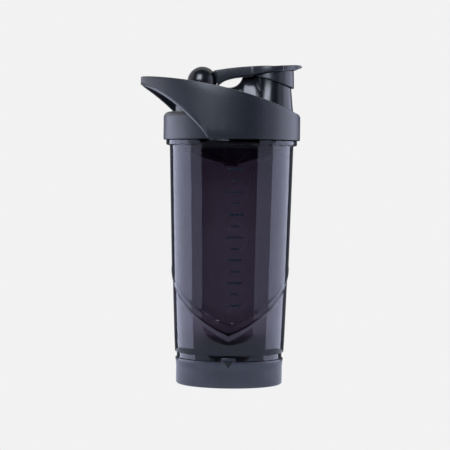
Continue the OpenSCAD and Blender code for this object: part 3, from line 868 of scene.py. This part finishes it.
def arm_top(x):
    """Height of the arm's upper side, out to the thumb tab's tip."""
    rise = bezier2((HINGE_X + 3, HINGE_Z + 6.2), (HINGE_X + 27.2, CAP_Z + 0.1),
                   (SPOUT_X, CAP_Z - 0.75))
    xs = np.concatenate([rise[:, 0], [SPOUT_X + 9, SPOUT_X + 14.7, CAP_TIP_X - 1.5, CAP_TIP_X]])
    zs = np.concatenate([rise[:, 1], [CAP_Z, CAP_Z + 0.55, CAP_Z + 0.5, CAP_Z - 0.2]])
    return float(np.interp(x, xs, zs))


def arm_low(x):
    """Height of the arm's lower side, which bends at an elbow and runs on as the plate's seam."""
    elbow = (SPOUT_X - 17.5, SPOUT_Z - 1.3)
    sweep = bezier2((HINGE_X + 11, HINGE_Z - 3.2), (HINGE_X + 16.5, HINGE_Z + 2.8), elbow)
    seam = bezier2(elbow, (SPOUT_X - 3.3, SPOUT_Z + 1.4), (CAP_TIP_X - 4.7, SPOUT_Z + 3.5))
    xs = np.concatenate([[HINGE_X], sweep[:, 0], seam[1:, 0], [CAP_TIP_X - 2, CAP_TIP_X]])
    zs = np.concatenate([[HINGE_Z - 3.2], sweep[:, 1], seam[1:, 1], [CAP_Z - 1.6, CAP_Z - 1.0]])
    return float(np.interp(x, xs, zs))


def arm_half(x):
    """Half width: a slim arm that opens out into the round plate and the thumb tab."""
    arm = 8.0 + 0.09 * (x - HINGE_X - 8)
    plate = math.sqrt(max(0.0, PLATE_R ** 2 - (x - SPOUT_X) ** 2))
    tab_r = 9.0
    tab = math.sqrt(max(0.0, tab_r ** 2 - (x - CAP_TIP_X + tab_r) ** 2))
    if x > SPOUT_X + 6:
        arm = 0.0
    sharp = 5.0
    return (arm ** sharp + plate ** sharp + tab ** sharp) ** (1 / sharp)


def cap_arm():
    """Arm, plate and thumb tab as one skin along X."""
    rings = []
    body = np.linspace(HINGE_X + 5, CAP_TIP_X - 6, 90)
    tip = CAP_TIP_X - 6 + 5.98 * np.sin(np.linspace(0, math.pi / 2, 22))[1:]
    for x in np.concatenate([body, tip]):
        low, top = arm_low(x), arm_top(x)
        middle, half_h = (low + top) / 2, (top - low) / 2
        end = math.sqrt(max(0.05, 1 - max(0.0, (x - CAP_TIP_X + 1.2) / 1.2) ** 2))
        rings.append([(x, y, z) for y, z in
                      arm_section(max(arm_half(x), 0.4), middle - half_h * end,
                                  middle + half_h * end, 0.9)])
    return skin("cap_arm", rings)


def skirt_edge(x):
    """Height of the skirt's slanted lower edge."""
    curve = bezier2((SPOUT_X - 11.7, SPOUT_Z - 1.5), (SPOUT_X - 0.3, SPOUT_Z - 4.5),
                    (SPOUT_X + SKIRT_R, SPOUT_Z - 9.1), 20)
    xs = np.concatenate([[SPOUT_X - SKIRT_R, SPOUT_X - SKIRT_R + 2.5], curve[:, 0]])
    zs = np.concatenate([[SPOUT_Z - 0.5, SPOUT_Z - 0.6], curve[:, 1]])
    return np.interp(x, xs, zs)


def cap_skirt():
    """The cup that closes over the spout, as one turned skin with a slanted rim."""
    a = circle_angles()
    low = skirt_edge(SPOUT_X + SKIRT_R * np.cos(a))
    top_z = CEILING_Z + 2.6
    under = np.array([arm_low(x) for x in SPOUT_X + SKIRT_R * np.cos(a)])

    def ring(r, z):
        return ring_points(r, z, centre=(SPOUT_X, 0))

    draft = 0.22
    seam_z = np.maximum(np.minimum(under - 0.05, CEILING_Z + 1.25), low + 1.2)
    rings = [ring(5, top_z), ring(SKIRT_R - 0.9, top_z), ring(SKIRT_R - 0.75, seam_z + 0.2),
             ring(SKIRT_R - draft - 0.25, seam_z), ring(SKIRT_R - draft, seam_z - 0.3)]
    for t in (0.3, 0.6, 0.9):
        z = seam_z - 0.3 + (low + 0.5 - seam_z + 0.3) * t
        rings.append(ring(SKIRT_R - draft * (1 - t), z))
    rings += [ring(SKIRT_R, low + 0.45), ring(SKIRT_R - 0.1, low + 0.12), ring(SKIRT_R - 0.4, low),
              ring(CAP_IN_R + 0.3, low), ring(CAP_IN_R + 0.08, low + 0.12),
              ring(CAP_IN_R, low + 0.4), ring(CAP_IN_R, CEILING_Z - 0.5 + 0 * low),
              ring(CAP_IN_R - 0.02, CEILING_Z), ring(8, CEILING_Z), ring(3, CEILING_Z)]
    return skin("cap_skirt", rings)


def tongue():
    """The disc that turns in the ball's slot, with the neck that joins it to the arm."""
    r, half = BALL_R - 0.6, TONGUE_W / 2
    path = [(2, -half), (r - 0.4, -half), (r - 0.1, -half + 0.1), (r, -half + 0.4),
            (r, half - 0.4), (r - 0.1, half - 0.1), (r - 0.4, half), (2, half)]
    disc = on_hinge("tongue", path, 192)
    rings = []
    for x in np.linspace(5, 14, 10):
        rings.append([(HINGE_X + x, y, HINGE_Z + z) for y, z in
                      arm_section(half - 0.01, -1.5 + 0.05 * x, 6 + 0.07 * (x - 5), 0.5)])
    return union(disc, skin("neck", rings))


def flip_cap():
    cap = union(cap_arm(), cap_skirt())
    cut(cap, on_hinge("arm_gap", [(BALL_R + 0.3, -20), (BALL_R + 0.3, 20)], 256))
    union(cap, tongue())
    cut(cap, on_hinge("pin_bore", [(PIN_R + 0.08, -10), (PIN_R + 0.08, 10)], PIN_ROUND))
    cap.name = "flip_cap_body"
    return cap


# ---- stage, light and camera ----

# The camera and its studio stand a little to the left of the lid's -Y side, in degrees
VIEW_TURN = -5.5


def emitter(name, verts, faces, strength, colour=(1, 1, 1), seen=True):
    """A plane that glows evenly; it is part of the studio and turns with the camera."""
    mesh = bpy.data.meshes.new(name)
    mesh.from_pydata((np.asarray(verts, float) * MM).tolist(), [], faces)
    mesh.transform(Matrix.Rotation(math.radians(VIEW_TURN), 4, "Z"))
    obj = bpy.data.objects.new(name, mesh)
    bpy.context.scene.collection.objects.link(obj)
    material = bpy.data.materials.new(name)
    material.use_nodes = True
    tree = material.node_tree
    tree.nodes.clear()
    glow = tree.nodes.new("ShaderNodeEmission")
    glow.inputs["Color"].default_value = (*colour, 1)
    glow.inputs["Strength"].default_value = strength
    out = tree.nodes.new("ShaderNodeOutputMaterial")
    tree.links.new(glow.outputs["Emission"], out.inputs["Surface"])
    mesh.materials.append(material)
    obj.visible_camera = seen
    obj.visible_transmission = seen


def wall_arc(name, r, z0, z1, a0, a1, strength, colour=(1, 1, 1)):
    """An unseen upright curved panel about the bottle; angles in degrees, 0 towards the camera and
    growing towards +X."""
    steps = 24
    verts = []
    for k in range(steps + 1):
        a = math.radians(a0 + (a1 - a0) * k / steps)
        x, y = r * math.sin(a), -r * math.cos(a)
        verts += [(x, y, z0), (x, y, z1)]
    faces = [(2 * k, 2 * k + 2, 2 * k + 3, 2 * k + 1) for k in range(steps)]
    emitter(name, verts, faces, strength, colour, False)


def sheet(name, x0, x1, y0, y1, z, strength, seen, colour=(1, 1, 1)):
    """A level panel at height z."""
    emitter(name, [(x0, y0, z), (x1, y0, z), (x1, y1, z), (x0, y1, z)], [(0, 1, 2, 3)],
            strength, colour, seen)


PALE = 0.888      # brightness of the surround and the floor


def studio():
    """Pale floor and surround, a dark room in front, a tall dim panel, soft box and dark flag
    at each side, and a key light from the upper left."""
    world = bpy.data.worlds.new("surround")
    bpy.context.scene.world = world
    world.use_nodes = True
    world.node_tree.nodes["Background"].inputs["Color"].default_value = (PALE, PALE, PALE, 1)
    world.node_tree.nodes["Background"].inputs["Strength"].default_value = 1.0
    cool = (0.76, 0.79, 1.0)
    sheet("floor", -6000, 6000, -6000, 6000, -0.3, PALE, True)
    sheet("near_floor", -400, 400, -185, 400, 0.1, 0.95, False, (0.76, 0.82, 1.0))
    sheet("dark_floor", -3000, 3000, -3000, -185, 0.2, 0.14, False, cool)
    wall_arc("dark_room", 1500, 0, 2600, -74, 74, 0.0)
    sheet("dark_ceiling", -1500, 1500, -1500, 100, 1500, 0.0, False)
    near, low = 175, 0.4      # the side panels' distance and lower edge
    for side, high, soft, dim, ends in ((-1, 205, 3.0, 1.1, (51, 73, 128)),
                                        (1, 330, 2.7, 0.95, (44, 74, 126))):
        name = "left" if side < 0 else "right"
        wall_arc("dim_" + name, near, low, high, side * ends[0], side * ends[1], dim, cool)
        wall_arc("softbox_" + name, near, low, high, side * ends[1], side * ends[2], soft, cool)
        wall_arc("flag_" + name, near, low, high, side * ends[2], side * 180, 0.14, cool)
    emitter("key", [(-390, -500, 330), (-60, -630, 330), (-50, -540, 760), (-340, -430, 760)],
            [(0, 1, 2, 3)], 11.0, (0.80, 0.86, 1.0), False)


def camera():
    """A long lens a little above the bottle's middle, rolled by a fraction of a degree."""
    data = bpy.data.cameras.new("camera")
    data.sensor_width = 36.0
    data.lens = 144.0
    data.clip_start = 0.05
    data.clip_end = 20.0
    obj = bpy.data.objects.new("camera", data)
    bpy.context.scene.collection.objects.link(obj)
    distance, eye_z, aim_x, aim_z, roll = 1240.0, 140.0, -3.9, 109.0, 0.68
    place = Vector((aim_x, -distance, eye_z)) * MM
    aim = Vector((aim_x, 0, aim_z)) * MM
    turn = (aim - place).to_track_quat("-Z", "Y").to_matrix().to_4x4()
    turn = turn @ Matrix.Rotation(math.radians(roll), 4, "Z")
    turntable = Matrix.Rotation(math.radians(VIEW_TURN), 4, "Z")
    obj.matrix_world = turntable @ Matrix.Translation(place) @ turn
    bpy.context.scene.camera = obj


# ---- assembly ----

finish_piece(bottle_body(), SMOKE, "bottle", ("bottle",), 40)
# The graduation marks are coloured dark: painted shade standing for the darker look of clear
# relief.
finish_piece(front_bars(), MARKS_PAINTED_SHADE, "bottle", (), 50)
finish_piece(base_cup(), SMOKE_FOOT, "base", ("base_cup",), 40)
# A thin dark prism lying in the arrow's recess: painted shade for the recess's dark look, not a
# real inlay.
finish_piece(arrow_prism(CUP_RIM_R - 0.49, 0.12, "arrow_recess_painted_shade"), GLOSS, "base")
finish_piece(lid_shell(), MATT, "lid", ("lid_shell",))
finish_piece(lid_core(), GLOSS, "lid", ("lid_core",))
finish_piece(flip_cap(), SATIN, "cap", ("flip_cap",))
for node, material in (("mixing_insert", GRID), ("lid_seal", SILICONE), ("base_seal", SILICONE),
                       ("spout_seal", SILICONE), ("hinge_pin", STEEL)):
    dress(frame["nodes"][node].data, material)

studio()
camera()
bpy.context.scene.view_settings.view_transform = "Standard"
bpy.context.scene.view_settings.look = "None"
